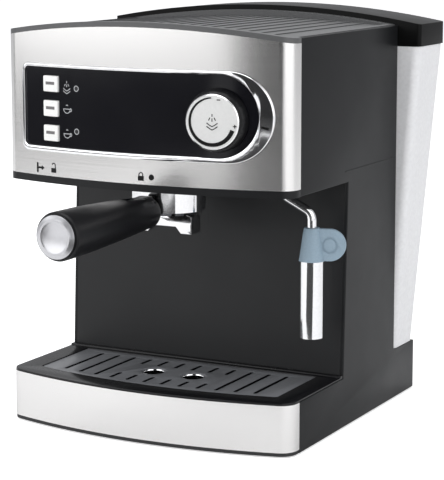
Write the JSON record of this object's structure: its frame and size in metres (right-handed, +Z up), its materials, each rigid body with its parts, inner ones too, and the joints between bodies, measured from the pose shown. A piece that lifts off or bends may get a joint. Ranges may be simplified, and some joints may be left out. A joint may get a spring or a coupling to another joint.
{
  "type": "espresso machine",
  "caption": "Countertop pump espresso machine with bowed steel front, filter holder, steam wand with frother, push keys, steam knob, drip tray and flared rear water tank.",
  "frame": {"origin": "floor level, midway across the width and midway between the handle tip and the back of the tank lid", "axes": "+Z up, front and filter handle towards -Y, +X to the right seen from the front"},
  "size_m": [0.254, 0.335, 0.2885],
  "materials": {
    "black_plastic": "satin moulded ABS, fine spark texture",
    "steel_skin": "brushed stainless sheet, grain across the width",
    "chrome": "bright chrome plate",
    "panel_black": "gloss black acrylic face",
    "button_white": "white satin key cap",
    "lamp_lens": "milky light pipe",
    "knob_silver": "satin silver disc",
    "handle_black": "satin phenolic handle",
    "cap_silver": "satin pressed cap",
    "grip_blue": "blue-grey silicone",
    "grille_grey": "dark grey satin moulding",
    "tank_clear": "frosted clear tank plastic",
    "rubber_black": "plain rubber",
    "silicone_seal": "red-brown silicone",
    "boiler_cast": "as-cast",
    "steel_part": "plain steel",
    "brass_part": "machined",
    "pump_plastic": "moulded pump body",
    "hose_clear": "milky silicone hose",
    "board_green": "circuit board"
  },
  "bodies": {
    "housing": {"bottom_plate": "black_plastic", "rubber_feet": "rubber_black", "bottom_screws": "steel_part", "base_housing": "black_plastic", "tank_shelf": "black_plastic", "base_steel_band": "steel_skin", "left_side_panel": "black_plastic", "right_side_panel": "black_plastic", "bay_back_panel": "black_plastic", "rear_panel": "black_plastic", "mains_gland": "black_plastic", "head_underside": "black_plastic", "head_steel_fascia": "steel_skin", "fascia_carrier": "black_plastic", "control_panel": "panel_black", "panel_bezel": "chrome", "indicator_lamps": "lamp_lens", "top_deck": "black_plastic", "push_switches": "black_plastic", "switch_board": "board_green", "steam_valve": "brass_part", "group_ring": "boiler_cast", "group_gasket": "silicone_seal", "shower_plate": "steel_part", "shower_screw": "steel_part", "boiler_lower": "boiler_cast", "boiler_upper": "boiler_cast", "boiler_screws": "steel_part", "thermostats": "steel_part", "steam_pipe": "steel_part", "wand_feed_pipe": "steel_part", "wand_bush": "black_plastic", "tank_seal": "silicone_seal", "inlet_spigot": "black_plastic", "pump_body": "pump_plastic", "pump_mounts": "rubber_black", "pump_bracket": "steel_part", "suction_hose": "hose_clear", "pressure_hose": "hose_clear"},
    "drip_tray": {"drip_tray": "black_plastic"},
    "drip_grille": {"drip_grille": "grille_grey"},
    "steam_knob": {"knob_body": "black_plastic", "knob_face": "knob_silver", "steam_spindle": "brass_part"},
    "steam_button": {"steam_button": "button_white"},
    "brew_button": {"brew_button": "button_white"},
    "power_button": {"power_button": "button_white"},
    "filter_holder": {"filter_bowl": "chrome", "filter_basket": "steel_part", "filter_handle": "handle_black", "handle_end_cap": "cap_silver", "clip_pin": "steel_part", "double_spout": "chrome"},
    "basket_clip": {"basket_clip": "black_plastic"},
    "steam_wand": {"wand_tube": "chrome", "frother_sleeve": "chrome", "wand_grip": "grip_blue"},
    "water_tank": {"water_tank": "tank_clear", "tank_outlet_valve": "black_plastic"},
    "tank_lid": {"tank_lid": "black_plastic"}
  },
  "joints": [
    {"name": "drip_tray_lift", "type": "slide", "parent": "housing", "child": "drip_tray", "axis": [0, 0, 1], "range_m": [0, 0.02]},
    {"name": "drip_grille_lift", "type": "slide", "parent": "drip_tray", "child": "drip_grille", "axis": [0, 0, 1], "range_m": [0, 0.01]},
    {"name": "steam_knob_turn", "type": "hinge", "parent": "housing", "child": "steam_knob", "pos_m": [0.062, -0.06634, 0.2228], "axis": [0.1654, -0.9862, 0], "range_deg": [0, 240]},
    {"name": "filter_holder_turn", "type": "hinge", "parent": "housing", "child": "filter_holder", "pos_m": [0, -0.0225, 0.1805], "axis": [0, 0, 1], "range_deg": [-50, 0]},
    {"name": "basket_clip_flip", "type": "hinge", "parent": "filter_holder", "child": "basket_clip", "pos_m": [0, -0.0565, 0.1638], "axis": [-1, 0, 0], "range_deg": [0, 8]},
    {"name": "steam_wand_swing", "type": "hinge", "parent": "housing", "child": "steam_wand", "pos_m": [0.0777, -0.0027, 0.1726], "axis": [0, 0, 1], "range_deg": [-90, 20]},
    {"name": "water_tank_lift", "type": "slide", "parent": "housing", "child": "water_tank", "axis": [0, 0, 1], "range_m": [0, 0.08]},
    {"name": "tank_lid_lift", "type": "slide", "parent": "water_tank", "child": "tank_lid", "axis": [0, 0, 1], "range_m": [0, 0.04]},
    {"name": "steam_button_press", "type": "slide", "parent": "housing", "child": "steam_button", "axis": [0.176, 0.9844, 0], "range_m": [0, 0.0018], "stiffness_N_per_m": 400},
    {"name": "brew_button_press", "type": "slide", "parent": "housing", "child": "brew_button", "axis": [0.176, 0.9844, 0], "range_m": [0, 0.0018], "stiffness_N_per_m": 400},
    {"name": "power_button_press", "type": "slide", "parent": "housing", "child": "power_button", "axis": [0.176, 0.9844, 0], "range_m": [0, 0.0018], "stiffness_N_per_m": 400}
  ]
}
